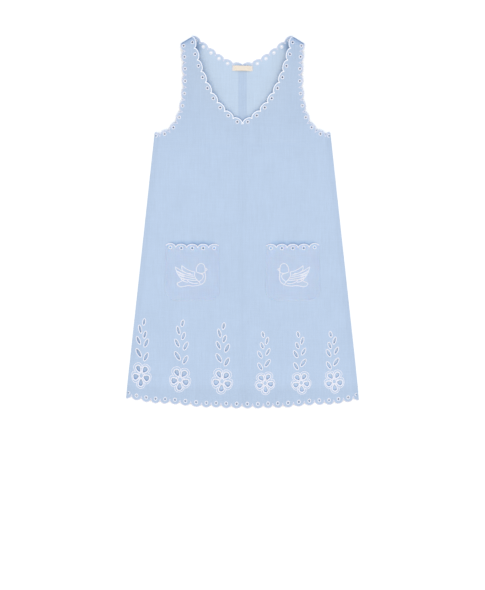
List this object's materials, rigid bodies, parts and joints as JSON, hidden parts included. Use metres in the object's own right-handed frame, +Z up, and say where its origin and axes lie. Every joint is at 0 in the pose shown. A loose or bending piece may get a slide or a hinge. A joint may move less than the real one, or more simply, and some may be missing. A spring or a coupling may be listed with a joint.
{
  "type": "mini dress",
  "caption": "Sleeveless A-line mini dress laid flat, with a V-neck, scalloped eyelet edges, cut flower stems above the hem and patch pockets with scalloped tops.",
  "frame": {"origin": "on the surface the dress lies on, under the middle of its box", "axes": "+X to the picture's right across the dress, +Y along the dress toward the neck, +Z up from the surface it lies on toward the viewer"},
  "size_m": [0.5646, 0.9005, 0.0088],
  "materials": {
    "linen_blue": "matte woven linen, pale blue",
    "label_cotton": "matte woven tape, cream"
  },
  "bodies": {
    "root": {"front": "linen_blue", "back_left": "linen_blue", "back_right": "linen_blue", "seam_edge_left": "linen_blue", "seam_edge_right": "linen_blue", "pocket_left": "linen_blue", "pocket_right": "linen_blue", "label": "label_cotton"}
  },
  "joints": []
}
